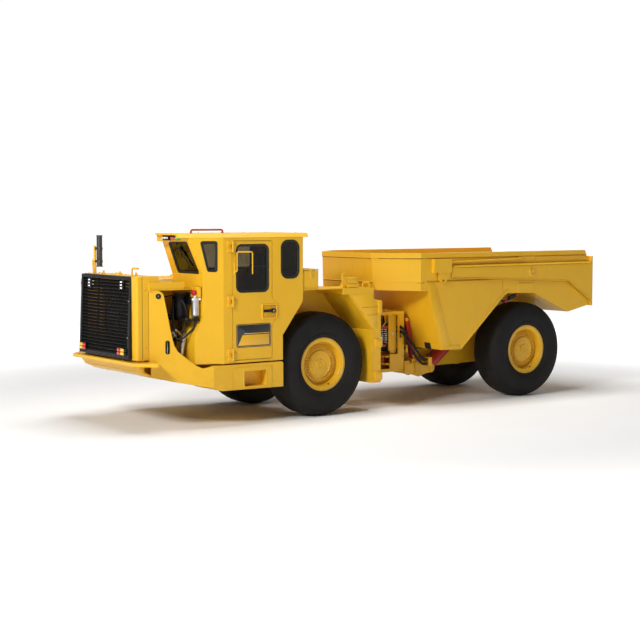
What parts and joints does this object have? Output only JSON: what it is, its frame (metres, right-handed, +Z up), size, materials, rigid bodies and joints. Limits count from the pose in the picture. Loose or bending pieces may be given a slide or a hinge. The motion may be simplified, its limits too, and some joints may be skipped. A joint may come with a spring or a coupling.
{
  "type": "underground mining truck",
  "caption": "Low articulated dump truck for mine tunnels: offset side-entry cab, louvred front, hinged middle, tipping body with a swinging rear gate.",
  "frame": {"origin": "on the ground under the middle of the truck's length and width", "axes": "+X forward, +Y to the truck's left (cab side), +Z up"},
  "size_m": [7.481, 2.18, 2.4218],
  "materials": {
    "painted_yellow": "semi-gloss yellow enamel on steel plate",
    "tyre_rubber": "smooth-tread dark grey rubber",
    "black_paint": "satin black paint",
    "cab_glass": "clear glass with a brown tint",
    "seat_vinyl": "dark grained vinyl",
    "console_plastic": "textured dark plastic",
    "red_paint": "semi-gloss red enamel",
    "chrome_rod": "polished hard chrome",
    "hose_rubber": "black wrapped hydraulic hose",
    "filter_metal": "cast and painted service pieces"
  },
  "bodies": {
    "front_unit": {"front_frame": "painted_yellow", "side_frames": "painted_yellow", "front_bumper": "painted_yellow", "hood": "painted_yellow", "radiator_cowl": "painted_yellow", "radiator": "black_paint", "engine_block": "black_paint", "transmission": "black_paint", "cab_shell": "painted_yellow", "cab_glass": "cab_glass", "cab_roof": "painted_yellow", "roof_handrail": "red_paint", "operator_seat": "seat_vinyl", "dash_console": "console_plastic", "rear_fenders": "painted_yellow", "toolbox": "painted_yellow", "hydraulic_tank": "painted_yellow", "filter_pack": "filter_metal", "exhaust_stack": "black_paint", "front_axle": "painted_yellow"},
    "grille_door": {"grille_door": "black_paint"},
    "cab_door": {"cab_door": "painted_yellow", "door_glass": "cab_glass"},
    "toolbox_lid": {"toolbox_lid": "painted_yellow"},
    "front_wheel_left": {"front_wheel_left": "painted_yellow", "front_tyre_left": "tyre_rubber"},
    "front_wheel_right": {"front_wheel_right": "painted_yellow", "front_tyre_right": "tyre_rubber"},
    "rear_wheel_left": {"rear_wheel_left": "painted_yellow", "rear_tyre_left": "tyre_rubber"},
    "rear_wheel_right": {"rear_wheel_right": "painted_yellow", "rear_tyre_right": "tyre_rubber"},
    "rear_unit": {"hitch_tower": "painted_yellow", "rear_frame": "painted_yellow", "rear_axle": "painted_yellow", "prop_shaft": "black_paint", "valve_block": "filter_metal", "hoist_hoses": "hose_rubber", "body_prop": "red_paint"},
    "steer_barrel_left": {"steer_barrel_left": "red_paint"},
    "steer_rod_left": {"steer_rod_left": "chrome_rod"},
    "steer_barrel_right": {"steer_barrel_right": "red_paint"},
    "steer_rod_right": {"steer_rod_right": "chrome_rod"},
    "hoist_barrels": {"hoist_barrels": "red_paint"},
    "hoist_rods": {"hoist_rods": "chrome_rod"},
    "dump_body": {"body_floor": "painted_yellow", "body_sides": "painted_yellow", "body_front": "painted_yellow"},
    "tailgate": {"tailgate": "painted_yellow"}
  },
  "joints": [
    {"name": "front_wheel_left_roll", "type": "hinge", "parent": "front_unit", "child": "front_wheel_left", "pos_m": [1.0675, 0.747, 0.672], "axis": [0, 1, 0], "continuous": true},
    {"name": "front_wheel_right_roll", "type": "hinge", "parent": "front_unit", "child": "front_wheel_right", "pos_m": [1.0675, -0.747, 0.672], "axis": [0, 1, 0], "continuous": true},
    {"name": "rear_wheel_left_roll", "type": "hinge", "parent": "rear_unit", "child": "rear_wheel_left", "pos_m": [-2.5285, 0.747, 0.672], "axis": [0, 1, 0], "continuous": true},
    {"name": "rear_wheel_right_roll", "type": "hinge", "parent": "rear_unit", "child": "rear_wheel_right", "pos_m": [-2.5285, -0.747, 0.672], "axis": [0, 1, 0], "continuous": true},
    {"name": "steering_hinge", "type": "hinge", "parent": "front_unit", "child": "rear_unit", "pos_m": [-0.2025, 0, 0.8], "axis": [0, 0, 1], "range_deg": [-40, 40]},
    {"name": "steer_barrel_left_swing", "type": "hinge", "parent": "front_unit", "child": "steer_barrel_left", "pos_m": [0.6175, 0.27, 0.6], "axis": [0, 0, 1], "range_deg": [-7.62, 7.62]},
    {"name": "steer_rod_left_stroke", "type": "slide", "parent": "steer_barrel_left", "child": "steer_rod_left", "axis": [-0.9976, 0.0698, 0], "range_m": [-0.2221, 0.2221]},
    {"name": "steer_barrel_right_swing", "type": "hinge", "parent": "front_unit", "child": "steer_barrel_right", "pos_m": [0.6175, -0.27, 0.6], "axis": [0, 0, 1], "range_deg": [-7.62, 7.62]},
    {"name": "steer_rod_right_stroke", "type": "slide", "parent": "steer_barrel_right", "child": "steer_rod_right", "axis": [-0.9976, -0.0698, 0], "range_m": [-0.2221, 0.2221]},
    {"name": "body_tilt", "type": "hinge", "parent": "rear_unit", "child": "dump_body", "pos_m": [-3.1825, 0, 1.05], "axis": [0, -1, 0], "range_deg": [0, 65]},
    {"name": "hoist_barrel_swing", "type": "hinge", "parent": "rear_unit", "child": "hoist_barrels", "pos_m": [-1.1325, 0, 0.45], "axis": [0, -1, 0], "range_deg": [-3.46, 0.5]},
    {"name": "hoist_rod_stroke", "type": "slide", "parent": "hoist_barrels", "child": "hoist_rods", "axis": [-0.7983, 0, 0.6023], "range_m": [-0.004, 1.0561]},
    {"name": "tailgate_swing", "type": "hinge", "parent": "dump_body", "child": "tailgate", "pos_m": [-2.5125, 0, 1.79], "axis": [0, 1, 0], "range_deg": [0, 50]},
    {"name": "cab_door_swing", "type": "hinge", "parent": "front_unit", "child": "cab_door", "pos_m": [2.5045, 1.056, 1.54], "axis": [0, 0, 1], "range_deg": [-95, 0]},
    {"name": "grille_door_swing", "type": "hinge", "parent": "front_unit", "child": "grille_door", "pos_m": [3.6425, -0.735, 1.36], "axis": [0, 0, 1], "range_deg": [-105, 0]},
    {"name": "toolbox_lid_swing", "type": "hinge", "parent": "front_unit", "child": "toolbox_lid", "pos_m": [1.3145, 0.624, 1.901], "axis": [1, 0, 0], "range_deg": [0, 100]}
  ],
  "couplings": [
    {"joint": "steer_barrel_left_swing", "follows": "steering_hinge", "ratio": 0.1781},
    {"joint": "steer_rod_left_stroke", "follows": "steering_hinge", "m_per_rad": 0.31238},
    {"joint": "steer_barrel_right_swing", "follows": "steering_hinge", "ratio": 0.1781},
    {"joint": "steer_rod_right_stroke", "follows": "steering_hinge", "m_per_rad": -0.31238},
    {"joint": "hoist_barrel_swing", "follows": "body_tilt", "ratio": -0.0456},
    {"joint": "hoist_rod_stroke", "follows": "body_tilt", "m_per_rad": 0.92211}
  ]
}
